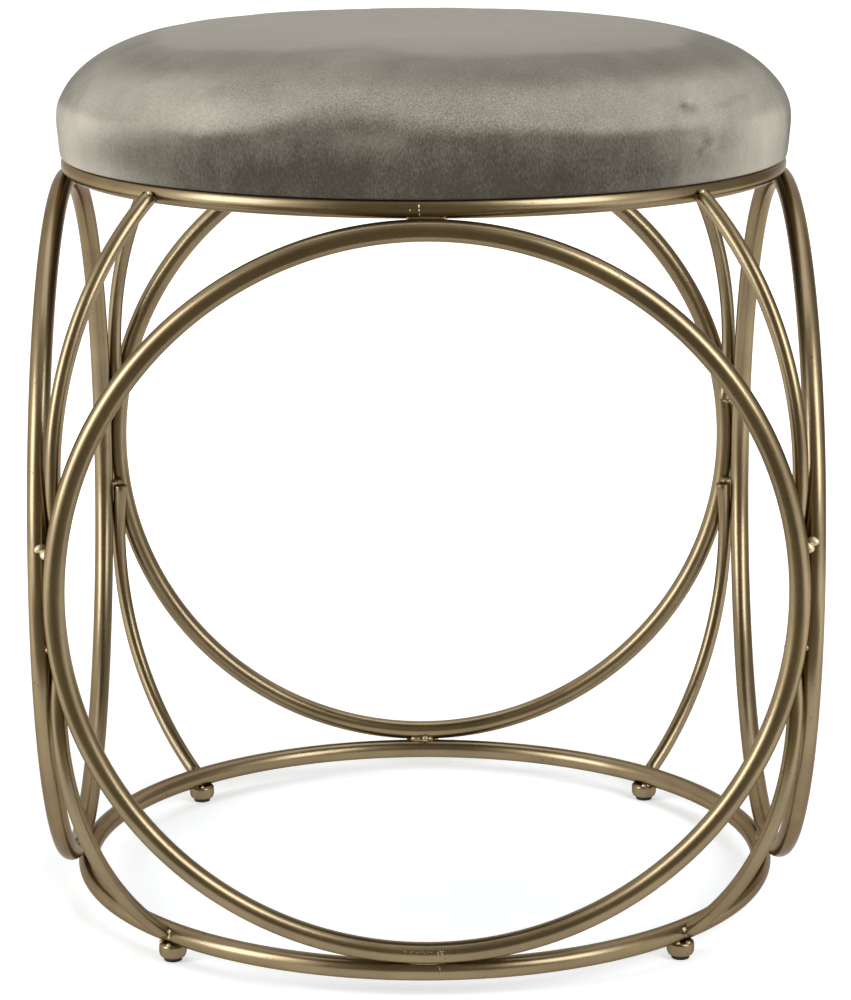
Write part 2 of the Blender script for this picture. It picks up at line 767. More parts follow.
def rod_tip_welds():
    """Weld metal at each rod's outer end: a thin fillet on each side, and at the front two pale
    lumps on the upper rods' cut ends and a short bead up the inner side of the lower ones."""
    lean = Matrix.Rotation(-(ROD_LAST + QUARTER), 3, "Y")
    out = TUBE_RADIUS + TIP_CROTCH_GAP
    crotch_x = RING_RADIUS + out * math.cos(ROD_LANDING_ANGLE)
    crotch_z = RING_RISE - out * math.sin(ROD_LANDING_ANGLE)
    proud_x = ROD_CENTRE.x + (ROD_BEND + TIP_LUMP_OUT) * math.cos(ROD_LAST)
    proud_z = ROD_CENTRE.y + (ROD_BEND + TIP_LUMP_OUT) * math.sin(ROD_LAST)
    for index, (corner, turn) in enumerate(CORNERS.items()):
        for level, flip in LEVELS.items():
            bm = bmesh.new()
            for side in (-1, 1):
                seed = 4 * index + side + (17 if flip else 0)
                size = TIP_FILLET + Vector((TIP_FILLET_UNEVEN * math.sin(seed * 2.1), 0, 0))
                lump(bm, (crotch_x, side * TIP_FILLET_APART, crotch_z), size, seed, turn=lean)
            turn_and_lift(bm, turn, MID_HEIGHT, flip)
            finish_piece(bm, f"{corner}_{level}_rod_tip_weld", weld_brass)
            if not corner.startswith("front"):
                continue
            bm = bmesh.new()
            if not flip:
                inner = 1 if corner.endswith("left") else -1
                for across, wide in TIP_LUMPS:
                    centre = (proud_x, inner * across * MM, proud_z)
                    lump(bm, centre, mm(0.8 * wide, wide, 0.9 * wide), seed + wide, turn=lean)
            else:
                inner = 1 if corner.endswith("right") else -1
                tall = TIP_TAIL_HEIGHT[corner]
                bead = Vector((crotch_x + TIP_BEAD_OUT, inner * TIP_BEAD_APART, crotch_z - TIP_BEAD_DOWN))
                lump(bm, bead, TIP_BEAD, seed + 3)
                tail = bead + Vector((-TIP_TAIL_IN, -inner * TIP_TAIL_IN, tall / 2))
                lump(bm, tail, TIP_TAIL_WIDTH + Vector((0, 0, tall)), seed + 4)
            turn_and_lift(bm, turn, MID_HEIGHT, flip)
            finish_piece(bm, f"{corner}_{level}_rod_tip_lumps", lump_brass)


def seam_scraps(radius, seam_along, scraps):
    """Scraps of weld metal left where a hoop's tube was closed and ground flush, this far along
    the hoop from its -Y side."""
    bm = bmesh.new()
    turn = seam_along / radius - QUARTER
    for seed, (along, around, tall, wide) in enumerate(scraps):
        angle = math.radians(around)
        around_axis = Matrix.Rotation(turn + along * MM / radius, 3, "Z")
        spoke = Vector((radius + TUBE_RADIUS * math.cos(angle), 0, TUBE_RADIUS * math.sin(angle)))
        tilt = around_axis @ Matrix.Rotation(-angle, 3, "Y")
        lump(bm, around_axis @ spoke, mm(SCRAP_DEPTH, wide, tall), seed, turn=tilt)
    return bm


def seams():
    """What is left of the seams of the two rings and of the front circle, at the front."""
    top = seam_scraps(RING_RADIUS, TOP_SEAM_ALONG, TOP_SEAM)
    turn_and_lift(top, lift=TOP_RING_HEIGHT)
    finish_piece(top, "top_ring_seam", lump_brass)

    bottom = seam_scraps(RING_RADIUS, BOTTOM_SEAM_ALONG, BOTTOM_SEAM)
    turn_and_lift(bottom, lift=BOTTOM_RING_HEIGHT)
    finish_piece(bottom, "bottom_ring_seam", weld_brass)

    scraps = [(1.3 * math.sin(2.7 * k), 108 + 8 * math.cos(1.9 * k), 0.9, 0.8) for k in range(6)]
    scraps += [
        (-4.5 - 1.6 * k + 0.5 * math.sin(3 * k), 112 + 3 * math.sin(2.3 * k), 0.6, 0.7)
        for k in range(10)
    ]
    circle = seam_scraps(CIRCLE_RADIUS, CIRCLE_SEAM_ALONG, scraps)
    swing(circle, QUARTER, "X")
    shift(circle, (0, -CIRCLE_PLANE, MID_HEIGHT))
    finish_piece(circle, "front_circle_seam", weld_brass)


# Each foot's tacks to the ring: their angles round the foot in radians, how far out from its axis
# and how far over its top they are, and their sizes
TACK_ANGLES = (-1.9, -1.2, 2.9)
TACK_REACH = 5.9 * MM
TACK_LIFT = 0.1 * MM
TACK_WIDTH = 2.7 * MM
TACK_WIDTH_UNEVEN = 0.7 * MM
TACK_HEIGHT = 1.9 * MM


def feet():
    """Bun feet with black pads pressed into them, each tacked to the ring by small lumps."""
    seat = PAD_RADIUS + PAD_CLEARANCE
    rim = seat + FOOT_RIM
    bun = [(0, PAD_SHOW + PAD_SEAT_DEPTH), (seat, PAD_SHOW + PAD_SEAT_DEPTH), (seat, PAD_SHOW)]
    for step in range(11):
        angle = QUARTER * step / 10
        radius = rim + (FOOT_RADIUS - rim) * math.sin(angle)
        bun.append((radius, PAD_SHOW + FOOT_ROUND * (1 - math.cos(angle))))
    for step in range(7):
        angle = QUARTER * step / 6
        radius = FOOT_RADIUS - FOOT_SHOULDER * (1 - math.cos(angle))
        bun.append((radius, FOOT_TOP - FOOT_SHOULDER * (1 - math.sin(angle))))
    bun.append((0, FOOT_TOP))
    pad = [(0, 0), (PAD_RADIUS - 1.5 * PAD_EDGE, 0), (PAD_RADIUS - 0.35 * PAD_EDGE, PAD_EDGE * 0.4)]
    pad_top = PAD_SHOW + PAD_INSIDE
    pad += [(PAD_RADIUS, PAD_EDGE), (PAD_RADIUS, pad_top), (0, pad_top)]
    for index, (corner, turn) in enumerate(CORNERS.items()):
        for kind, profile, material, slot in (
            ("foot", bun, brass, "antique_brass"),
            ("foot_pad", pad, rubber, "rubber"),
        ):
            bm = spun(profile)
            shift(bm, (RING_RADIUS, 0, 0))
            turn_and_lift(bm, turn)
            finish_piece(bm, f"{corner}_{kind}_turned", material, [f"{corner}_{kind}"])
        bm = bmesh.new()
        for number, around in enumerate(TACK_ANGLES):
            around += 0.3 * math.sin(index * 2.1 + number) - turn
            out = Vector((math.cos(around), math.sin(around), 0)) * TACK_REACH
            centre = Vector((RING_RADIUS, 0, FOOT_TOP + TACK_LIFT)) + out
            wide = TACK_WIDTH + TACK_WIDTH_UNEVEN * math.sin(index + number * 2.4)
            lump(bm, centre, (wide, 0.8 * wide, TACK_HEIGHT), 30 + 3 * index + number)
        turn_and_lift(bm, turn)
        finish_piece(bm, f"{corner}_foot_weld", lump_brass)


rings_and_circles()
rods()
ring_welds()
corner_welds()
rod_tip_welds()
seams()
feet()


# Seat fixing, under the seat

TAB_WIDTH = 22 * MM
TAB_THICKNESS = 2 * MM
TAB_UNDER_RING = 3 * MM  # from the ring's centre line in to the tab's outer end
TAB_EDGE = 0.35 * MM
TAB_WELD = mm(3.4, 15, 2.6)
TAB_WELD_IN = 6 * MM
TAB_WELD_DOWN = 0.4 * MM
SCREW_INSET = 22 * MM
SCREW_AT = RING_RADIUS - SCREW_INSET
SCREW_HEAD = 4 * MM
SCREW_HEAD_HEIGHT = 2.2 * MM
SCREW_DOME = 1.1 * MM
SCREW_FLAT = 1.6 * MM  # radius of the nearly flat middle of the head
SCREW_FLAT_LIFT = 0.1 * MM
SCREW_DIMPLE = 0.05 * MM
SCREW_SHANK = 1.9 * MM
SCREW_PLAIN_LENGTH = 3 * MM
SCREW_POINT = 3.4 * MM
THREAD_PITCH = 1.4 * MM
THREAD_ROOT = 1.35 * MM
THREAD_CREST = 2 * MM
RECESS = mm(4.2, 0.95, 2.6)
DUST_THICKNESS = 0.8 * MM


def seat_tab(corner, turn, seed):
    """A plate with a round nose, welded inside the top ring."""
    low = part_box("front_right_seat_tab")[0].z
    bm = bmesh.new()
    back = RING_RADIUS - TAB_UNDER_RING
    outline = [(back, -TAB_WIDTH / 2), (back, TAB_WIDTH / 2)]
    nose = [QUARTER + HALF_TURN * step / 24 for step in range(25)]
    outline += [
        (SCREW_AT + TAB_WIDTH / 2 * math.cos(a), TAB_WIDTH / 2 * math.sin(a)) for a in nose
    ]
    face = bm.faces.new([bm.verts.new((x, y, low)) for x, y in outline])
    raised = bmesh.ops.extrude_face_region(bm, geom=[face])
    shift(bm, (0, 0, TAB_THICKNESS), [v for v in raised["geom"] if isinstance(v, bmesh.types.BMVert)])
    bmesh.ops.bevel(
        bm,
        geom=[e for e in bm.edges if abs(e.calc_face_angle(0)) > 1],
        offset=TAB_EDGE,
        segments=2,
        profile=0.5,
        affect="EDGES",
        material=-1,
    )
    lump(bm, (RING_RADIUS - TAB_WELD_IN, 0, low - TAB_WELD_DOWN), TAB_WELD, seed)
    turn_and_lift(bm, turn)
    finish_piece(bm, f"{corner}_seat_tab_plate", brass, [f"{corner}_seat_tab"])


def seat_screw(corner, turn, twist):
    """A wood screw with a pan head, up through the tab into the board."""
    node = f"{corner}_seat_screw"
    low, high = (end.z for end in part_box(node))
    under_head = low + SCREW_HEAD_HEIGHT
    flat = low + SCREW_FLAT_LIFT
    profile = [(0, flat + SCREW_DIMPLE), (SCREW_FLAT, flat)]
    profile += [
        (SCREW_HEAD * math.sin(a), low + SCREW_DOME - SCREW_DOME * math.cos(a))
        for a in (0.5, 0.8, 1.05, 1.25, 1.4, QUARTER)
    ]
    profile += [(SCREW_HEAD, under_head), (SCREW_SHANK, under_head)]
    z = under_head + SCREW_PLAIN_LENGTH
    while z < high - SCREW_POINT:
        profile += [(THREAD_ROOT, z), (THREAD_CREST, z + THREAD_PITCH / 2)]
        z += THREAD_PITCH
    profile += [(THREAD_ROOT, z), (0, high)]
    bm = spun(profile, SCREW_STEPS)
    shift(bm, (SCREW_AT, 0, 0))
    turn_and_lift(bm, turn)
    screw = finish_piece(bm, node + "_pan_head", zinc, [node], 30)
    foot = Vector((SCREW_AT * math.cos(turn), SCREW_AT * math.sin(turn), low))
    cross_recess(screw, foot, twist)


def cross_recess(screw, foot, twist):
    """Cuts a cross recess up into a screw's head."""
    bm = bmesh.new()
    for quarter in (0, QUARTER):
        slot = bmesh.ops.create_cube(bm, size=1)["verts"]
        bmesh.ops.scale(bm, verts=slot, vec=RECESS)
        swing(bm, quarter + twist, "Z", slot)
    shift(bm, foot)
    cut_away(screw, bm, crossing=True)


def cut_away(piece, bm, crossing=False):
    """Takes the solids of a bmesh, which may cross each other, out of a piece."""
    mesh = bpy.data.meshes.new("cutter")
    bm.to_mesh(mesh)
    bm.free()
    cutter = bpy.data.objects.new("cutter", mesh)
    bpy.context.scene.collection.objects.link(cutter)
    cut = piece.modifiers.new("cut", "BOOLEAN")
    cut.operation = "DIFFERENCE"
    cut.solver = "EXACT"
    cut.use_self = crossing
    cut.object = cutter
    apply_modifiers(piece)
    bpy.data.objects.remove(cutter)


for number, (corner, turn) in enumerate(CORNERS.items()):
    seat_tab(corner, turn, 50 + number)
    seat_screw(corner, turn, 0.4 + number)


# Seat

COVER_THICKNESS = 1.8 * MM
FOAM_OVER_BOARD = 0.3 * MM
RIM_ROLL = 1.5 * MM  # the rim rolls down this much outside the top ring, so that no gap shows
SWELL_DRAW_IN = 0.3 * MM
SWELL_VOXEL = 5 * MM
SWELL_LIMIT = 0.7 * MM
SWELL_FRAMES = 20
HEM_HEIGHT = 6 * MM  # up to here the cover is held while it swells, on average
STAPLE_PULL = 1.5 * MM
HEM_WANDER = 0.8 * MM
PUCKER_BAND = 6  # the swelling is compared within bands this many millimetres high
# A short-pile cover over foam, under a light pressure, with no weight of its own
COVER_CLOTH = {
    "quality": 5,
    "mass": 0.3,
    "tension_stiffness": 20,
    "compression_stiffness": 20,
    "shear_stiffness": 10,
    "bending_stiffness": 2,
    "use_pressure": True,
    "uniform_pressure_force": 4,
    "vertex_group_mass": "held",
}


def crown_profile(draw_in, steps):
    """From the widest part of the seat over the crown to the axis, as (radius, height)."""
    radius, rise = SEAT_RADIUS - draw_in, SEAT_RISE - draw_in
    points = []
    for step in range(steps + 1):
        share = math.cos(QUARTER * step / steps)
        lift = (1 - share**CROWN_FLATNESS) ** (1 / CROWN_ROUNDNESS)
        points.append((radius * share, SEAT_BASE + SEAT_WIDEST + rise * lift))
    points[-1] = (0, points[-1][1])
    return points


def side_radius(height, draw_in):
    """Radius of the seat's side at a height over the ring, under the widest part."""
    fall = (SEAT_WIDEST - height) / (SEAT_WIDEST - SEAT_UNDERSIDE)
    return SEAT_RADIUS - draw_in - SEAT_TUCK * fall**2.6


def seat_form(draw_in, steps, fine):
    """The upholstered pad as a closed form, drawn in by a depth."""
    base = SEAT_BASE + SEAT_UNDERSIDE
    edge = SEAT_EDGE - draw_in
    rim = side_radius(SEAT_UNDERSIDE + SEAT_EDGE, draw_in)
    flat_to = rim - edge
    profile = [(flat_to * share / (4 * fine), base + draw_in) for share in range(4 * fine)]
    for step in range(2 * fine + 1):
        angle = QUARTER * step / (2 * fine)
        profile.append(
            (flat_to + edge * math.sin(angle), base + draw_in + edge - edge * math.cos(angle))
        )
    lowest = SEAT_UNDERSIDE + SEAT_EDGE
    for step in range(1, 4 * fine):
        height = lowest + (SEAT_WIDEST - lowest) * step / (4 * fine)
        profile.append((side_radius(height, draw_in), SEAT_BASE + height))
    profile += crown_profile(draw_in, 14 * fine)
    return spun(profile, steps)


def swollen(form):
    """Lets a closed form swell like a stuffed cover stapled under its rim, by cloth simulation.
    Returns where its points started and how far each moved outwards."""
    remesh = form.modifiers.new("remesh", "REMESH")
    remesh.mode = "VOXEL"
    remesh.voxel_size = SWELL_VOXEL
    apply_modifiers(form)
    start, normals = mesh_points(form.data)
    turn = np.arctan2(start[:, 1], start[:, 0])
    pull = STAPLE_PULL * np.cos(turn * STAPLES) + HEM_WANDER * np.sin(turn * 7)
    held = np.flatnonzero(start[:, 2] < SEAT_BASE + HEM_HEIGHT + pull)
    form.vertex_groups.new(name="held").add([int(i) for i in held], 1.0, "REPLACE")
    cloth = form.modifiers.new("swell", "CLOTH")
    for name, value in COVER_CLOTH.items():
        setattr(cloth.settings, name, value)
    cloth.settings.effector_weights.gravity = 0
    cloth.point_cache.frame_start = 1
    cloth.point_cache.frame_end = SWELL_FRAMES
    scene = bpy.context.scene
    for number in range(1, SWELL_FRAMES + 1):
        scene.frame_set(number)
    settled = form.evaluated_get(bpy.context.evaluated_depsgraph_get())
    end, _ = mesh_points(settled.data)
    scene.frame_set(1)
    return start, ((end - start) * normals).sum(axis=1)


def smooth_share(value, low, high):
    """0 below low, 1 above high and an S curve between."""
    share = np.clip((value - low) / (high - low), 0, 1)
    return share * share * (3 - 2 * share)


def bell(value, middle, width):
    """1 at the middle, falling off to both sides."""
    return np.exp(-(((value - middle) / width) ** 2))


def field(points, size, seed, octaves=3):
    """A cloudy field over points, about -1 to 1, with clouds of a size in millimetres."""
    offset = Vector((seed * 13.7, seed * 5.3, seed * 9.1))
    scale = per(size)
    return np.array([noise.fractal(Vector(p) * scale + offset, 0.6, 2.1, octaves) for p in points])


def spot(azimuth, height, at_azimuth, at_height, wide, tall):
    """A soft round spot on the seat's side, in millimetres along it and up it."""
    off = (azimuth - at_azimuth + 180) % 360 - 180
    across = np.radians(off) * SEAT_RADIUS / MM
    return np.exp(-((across / wide) ** 2) - ((height - at_height) / tall) ** 2)


def mesh_points(mesh):
    """Points and vertex normals of a mesh."""
    points = np.zeros(len(mesh.vertices) * 3)
    normals = np.zeros(len(mesh.vertices) * 3)
    mesh.vertices.foreach_get("co", points)
    mesh.vertex_normals.foreach_get("vector", normals)
    return points.reshape(-1, 3), normals.reshape(-1, 3)


def around_and_up(points):
    """Each point's azimuth from the front in degrees, radius and height over the ring."""
    azimuth = np.degrees(np.arctan2(points[:, 0], -points[:, 1]))
    return azimuth, np.hypot(points[:, 0], points[:, 1]) / MM, (points[:, 2] - SEAT_BASE) / MM


def puckers(points):
    """The part of the simulated swelling that changes round the seat, at each point: the even
    part is in the form already. Points of one height band are compared with their own band."""
    form = finish_piece(seat_form(SWELL_DRAW_IN, 96, 2), "pad_before_swelling", velvet)
    start, rise = swollen(form)
    bpy.data.objects.remove(form)
    _, radius, height = around_and_up(start)
    band = np.round((height - radius * 0.35) / PUCKER_BAND).astype(int)
    for key in np.unique(band):
        chosen = band == key
        rise[chosen] -= rise[chosen].mean()
    tree = kdtree.KDTree(len(start))
    for index, point in enumerate(start):
        tree.insert(point, index)
    tree.balance()
    found = np.zeros(len(points))
    for index, point in enumerate(points):
        near = tree.find_n(point, 4)
        weights = np.array([1 / (distance + 1e-5) for _, _, distance in near])
        found[index] = (rise[[i for _, i, _ in near]] * weights).sum() / weights.sum()
    return np.clip(found, -SWELL_LIMIT, SWELL_LIMIT)


def hand_work(points):
    """Small unevenness of a cover pulled on by hand, in metres along the normal: soft waves, a
    worn widest edge, pulls above the staples, the faint line where the nap turns and one thumb
    mark."""
    azimuth, radius, height = around_and_up(points)
    move = 0.28 * field(points, 80, 1, 2) * smooth_share(height, 2, 12)
    move -= 0.35 * bell(height, 23, 4.5)
    around = np.radians(azimuth)
    rim = SEAT_RADIUS * np.column_stack([np.sin(around), -np.cos(around), around * 0])
    pulls = field(rim, 17, 4, 2)
    move += 0.2 * pulls * smooth_share(height, 1, 5) * (1 - smooth_share(height, 8, 26))
    line = 30 + 1.6 * np.sin(np.radians(2 * azimuth + 40))
    move -= 0.12 * bell(height, line, 2.6) * smooth_share(radius, 170, 185)
    move -= 0.9 * spot(azimuth, height, 43, 37, 4.5, 2.6)
    move += 0.3 * spot(azimuth, height, 43, 42, 7, 3)
    return move * MM


# Patches that hands have left on the nap of the seat's side: how much paler each is, its azimuth
# in degrees, its height over the ring, and how wide and tall it is, in millimetres
NAP_PATCHES = (
    (0.18, -34, 35, 30, 8),
    (0.1, -62, 34, 22, 9),
    (0.1, 46, 28, 18, 6),
    (-0.2, -52, 14, 32, 11),
    (-0.12, -62, 9, 26, 9),
    (-0.12, -15, 11, 26, 8),
    (0.08, 47, 44, 22, 6),
    (-0.06, -2, 44, 30, 7),
    (-0.16, 50, 20, 16, 9),
    (-0.36, 43, 37, 4, 2.2),
    (0.16, 44.5, 39.5, 3.4, 1.2),
    (-0.3, 44.6, 35, 1.8, 1.2),
    (-0.1, 80, 12, 22, 12),
    (-0.06, 60, 24, 18, 8),
    (-0.09, -58, 48, 24, 5),
    (-0.08, -30, 48, 24, 5),
    (-0.04, 12, 48, 24, 5),
    (-0.07, 60, 48, 24, 5),
    (-0.06, 8, 35, 26, 3.5),
)


def paint_nap(mesh, points):
    """How the nap lies at each point, from 0, dark, to 1, pale, kept as an attribute. Hands that
    pulled the cover down left it pale at the corners of the view and dark between them."""
    azimuth, radius, height = around_and_up(points)
    wave = 2.0 * field(points, 75, 2, 3) + 0.8 * field(points, 20, 3, 2)
    level = height + wave
    level -= 3.5 * bell(azimuth, -16, 14)
    level += 1.2 * bell(np.abs(azimuth), 61, 13)
    turn = np.abs(azimuth - 1) - 1.5
    turn -= 5 * smooth_share(-azimuth, 8, 30) * (1 - smooth_share(height, 16, 30))
    dark_front = 1 - smooth_share(turn, 27, 61)
    dark_back = smooth_share(turn, 118, 150)

    top = 0.475 + 0.03 * (1 - smooth_share(radius, 60, 150))
    shoulder = 0.3 + 0.02 * np.cos(np.radians(2 * (azimuth + 50)))
    shoulder += 0.07 * bell(azimuth, -16, 15)
    band = 0.48 + 0.17 * bell(turn, 51, 20) - 0.22 * smooth_share(turn, 66, 82)
    side = 0.84 - 0.32 * smooth_share(turn, 60, 80)
    side -= 0.78 * dark_front + 0.2 * dark_back
    side += 0.07 * smooth_share(height, 4, 24)
    side += 0.08 * smooth_share(-azimuth, 62, 74) * (1 - smooth_share(-azimuth, 100, 150))
    side -= 0.3 * smooth_share(azimuth, 70, 82) * (1 - smooth_share(azimuth, 100, 150))

    # The line where the nap turns dips away from the middle of the front.
    line = 27.5 + 10.5 * bell(azimuth, -12, 15) + 0.6 * wave
    line += 3.2 * bell(azimuth, 16, 10) - 1.6 * bell(azimuth, -33, 10)
    reach = 3 + 5 * bell(azimuth, -8, 15)
    above_line = smooth_share(height, line - reach, line + reach)
    on_shoulder = smooth_share(level, 45.5, 56)
    on_top = smooth_share(level - 0.6 * wave, 60.4, 63)
    nap = side + (band - side) * above_line
    nap += (shoulder - nap) * on_shoulder
    nap += (top - nap) * on_top

    # Brush strokes run up and down the side, and hands have left paler and darker patches.
    upright = points * np.array([1, 1, 0.25])
    strokes = field(upright, 8, 6, 3)
    nap += 0.04 * strokes * (1 - on_shoulder)
    nap += 0.055 * field(points, 30, 5, 4) * (1 - on_top)
    for paler, *place in NAP_PATCHES:
        nap += paler * spot(azimuth, height, *place)
    nap += 0.12 * spot(azimuth, height, -8, 27, 16, 5) * (1 - above_line)
    scuffed = spot(azimuth, height, 46, 17, 17, 8)
    nap -= 0.04 * scuffed * (1 + 4 * field(points, 6, 8, 4))
    crease = 34 + 0.28 * (azimuth - 46)
    nap -= 0.16 * bell(height, crease, 0.9) * spot(azimuth, height, 55, 36, 22, 8)
    nap += 0.04 * smooth_share(turn, 14, 32) * (1 - smooth_share(height, 1, 8))
    nap -= 0.06 * bell(azimuth, 1, 20) * (1 - above_line)

    brush = 0.38 + 0.42 * above_line * bell(azimuth, -2, 34) + 0.12 * above_line
    brush += (0.42 - brush) * on_shoulder
    brush += (0.16 - brush) * on_top
    for name, value in (("nap", nap), ("brush", brush)):
        attribute = mesh.attributes.new(name, "FLOAT", "POINT")
        attribute.data.foreach_set("value", np.clip(value, 0, 1).astype(np.float32))


def seat_cover():
    """The velvet cover: a turned form that takes puckers and the marks of hands."""
    bm = seat_form(0, SEAT_STEPS, 4)
    cover = finish_piece(bm, "velvet_seat_cushion", velvet, ["seat_cover"], 180)
    points, normals = mesh_points(cover.data)
    relief = hand_work(points)
    _, radius, height = around_and_up(points)
    relief += puckers(points) * (1 - 0.85 * smooth_share(height, 14, 40))
    relief *= smooth_share(height, 0.6, 4)
    worked = points + normals * relief[:, None]
    over = np.hypot(worked[:, 0], worked[:, 1]) / SEAT_RADIUS
    worked[:, :2] /= np.maximum(over, 1)[:, None]
    worked[:, 2] = np.minimum(worked[:, 2], seat_high.z)
    outside = (radius - RING_RADIUS / MM) / (TUBE_RADIUS / MM)
    worked[:, 2] -= RIM_ROLL * smooth_share(outside, 0.4, 0.76) * (1 - smooth_share(height, 2, 12))
    cover.data.vertices.foreach_set("co", worked.astype(np.float32).ravel())
    cover.data.update()
    paint_nap(cover.data, worked)
    return cover


def foam_pad(cover):
    """The foam: what the cover holds above the board, so it never shows through the cover."""
    bm = bmesh.new()
    bm.from_mesh(cover.data)
    bmesh.ops.recalc_face_normals(bm, faces=bm.faces)
    bm.normal_update()
    for vert, normal in [(v, v.normal.copy()) for v in bm.verts]:
        vert.co -= normal * COVER_THICKNESS
    bmesh.ops.bisect_plane(
        bm,
        geom=bm.verts[:] + bm.edges[:] + bm.faces[:],
        plane_co=(0, 0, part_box("seat_board")[1].z + FOAM_OVER_BOARD),
        plane_no=(0, 0, 1),
        clear_inner=True,
    )
    bmesh.ops.holes_fill(bm, edges=[e for e in bm.edges if e.is_boundary], sides=0)
    pad = finish_piece(bm, "foam_pad", foam, ["seat_foam"])


foam_pad(seat_cover())

board_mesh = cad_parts["seat_board"].data
board_mesh.materials.clear()
board_mesh.materials.append(plywood)


# Dust cover

DUST_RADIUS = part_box("dust_cover")[1].x
DUST_SAG = 2.2 * MM
DUST_SLACK_RADIUS = 150 * MM
DUST_STAPLES = 32
DUST_PUCKER = 0.12 * MM
PUCKER_RADIUS = 166 * MM
PUCKER_REACH = 15 * MM
CLOTH_EDGE = 10 * MM  # the puckers fade out this near the cloth's edge
CLOTH_RINGS = 36
SCREW_HOLE = 2.2 * MM
HOLE_CUTTER_HEIGHT = 8 * MM
STAPLE_CROWN = 10 * MM
STAPLE_WIRE = 0.6 * MM
STAPLE_WIDTH = 1.2 * MM
STAPLE_EDGE = 0.18 * MM
STAPLE_INSET = 5 * MM
STAPLE_INSET_UNEVEN = 0.8 * MM


def dust_cover():
    """Black cloth stretched over the underside and stapled round its edge: it hangs a little in
    the middle, where nothing holds it, and puckers faintly from staple to staple."""
    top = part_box("dust_cover")[1].z
    radii = [DUST_RADIUS * step / CLOTH_RINGS for step in range(CLOTH_RINGS + 1)]
    profile = [(radius, top) for radius in radii]
    profile += [(radius, top - DUST_THICKNESS) for radius in reversed(radii)]
    bm = spun(profile, CLOTH_STEPS)
    for vert in bm.verts:
        radius = math.hypot(vert.co.x, vert.co.y)
        around = math.atan2(vert.co.y, vert.co.x)
        slack = max(0, 1 - (radius / DUST_SLACK_RADIUS) ** 2)
        rough = noise.fractal(vert.co * per(45) + Vector((3, 8, 0)), 0.5, 2, 3)
        vert.co.z -= DUST_SAG * slack**1.5 * (1 + 0.2 * rough)
        near_staples = max(0, 1 - abs(radius - PUCKER_RADIUS) / PUCKER_REACH)
        pucker = math.cos(around * DUST_STAPLES) * near_staples
        vert.co.z -= DUST_PUCKER * (1 + pucker) * min(1, max(0, (DUST_RADIUS - radius) / CLOTH_EDGE))
    cloth = finish_piece(bm, "dust_cover_cloth", spunbond, ["dust_cover"])
    holes = bmesh.new()
    for turn in CORNERS.values():
        made = bmesh.ops.create_cone(
            holes,
            cap_ends=True,
            segments=24,
            radius1=SCREW_HOLE,
            radius2=SCREW_HOLE,
            depth=HOLE_CUTTER_HEIGHT,
        )
        shift(holes, (SCREW_AT * math.cos(turn), SCREW_AT * math.sin(turn), top), made["verts"])
    cut_away(cloth, holes)


def dust_cover_staples():
    """The crowns of the staples round the edge of the dust cover, none of them quite straight."""
    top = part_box("dust_cover")[1].z
    lift = top - DUST_THICKNESS - 0.35 * STAPLE_WIRE
    bm = bmesh.new()
    for number in range(DUST_STAPLES):
        around = WHOLE_TURN * (number + 0.5) / DUST_STAPLES
        verts = bmesh.ops.create_cube(bm, size=1)["verts"]
        bmesh.ops.scale(bm, verts=verts, vec=(STAPLE_WIDTH, STAPLE_CROWN, STAPLE_WIRE))
        edges = [e for e in bm.edges if all(v in verts for v in e.verts)]
        rounded = bmesh.ops.bevel(
            bm, geom=edges, offset=STAPLE_EDGE, segments=2, profile=0.5, affect="EDGES", material=-1
        )
        verts = list({v for f in rounded["faces"] for v in f.verts} | {v for v in verts if v.is_valid})
        swing(bm, 0.12 * math.sin(number * 2.3), "Z", verts)
        inset = STAPLE_INSET + STAPLE_INSET_UNEVEN * math.sin(number * 1.7)
        shift(bm, (DUST_RADIUS - inset, 0, lift), verts)
        swing(bm, around, "Z", verts)
    finish_piece(bm, "dust_cover_staples", zinc)


dust_cover()
dust_cover_staples()


# Studio, in metres

FLOOR_RADIUS = 30
FLOOR_FADE_FROM, FLOOR_FADE_TO = 0.3, 0.9


def seen_directly(tree):
    """1 for what the camera sees, straight or in a reflection or through glass, 0 for light that
    falls on a dull surface."""
    path = add(tree, "LightPath").outputs
    first = add(
        tree,
        "Math",
        {0: path["Is Camera Ray"], 1: path["Is Glossy Ray"]},
        operation="MAXIMUM",
    )
    both = add(
        tree,
        "Math",
        {0: first.outputs[0], 1: path["Is Transmission Ray"]},
        operation="MAXIMUM",
    )
    return both.outputs[0]


def set_up(name, bm, material):
    """A bmesh as a thing that stands in the studio and isn't part of the stool."""
    mesh = bpy.data.meshes.new(name)
    bm.to_mesh(mesh)
    bm.free()
    mesh.materials.append(material)
    thing = bpy.data.objects.new(name, mesh)
    bpy.context.scene.collection.objects.link(thing)
    return thing


def pale_room():
    """A white room that lights the stool only faintly by itself."""
    world = bpy.data.worlds.new("pale_studio")
    bpy.context.scene.world = world
    world.use_nodes = True
    tree = world.node_tree
    tree.nodes.clear()
    dim = add(tree, "Background", {"Color": linear("#F2F4F7"), "Strength": 0.3})
    white = add(tree, "Background", {"Color": linear("#FFFFFF"), "Strength": 1.0})
    both = add(tree, "MixShader", {0: seen_directly(tree), 1: dim.outputs[0], 2: white.outputs[0]})
    add(tree, "OutputWorld", {"Surface": both.outputs[0]})


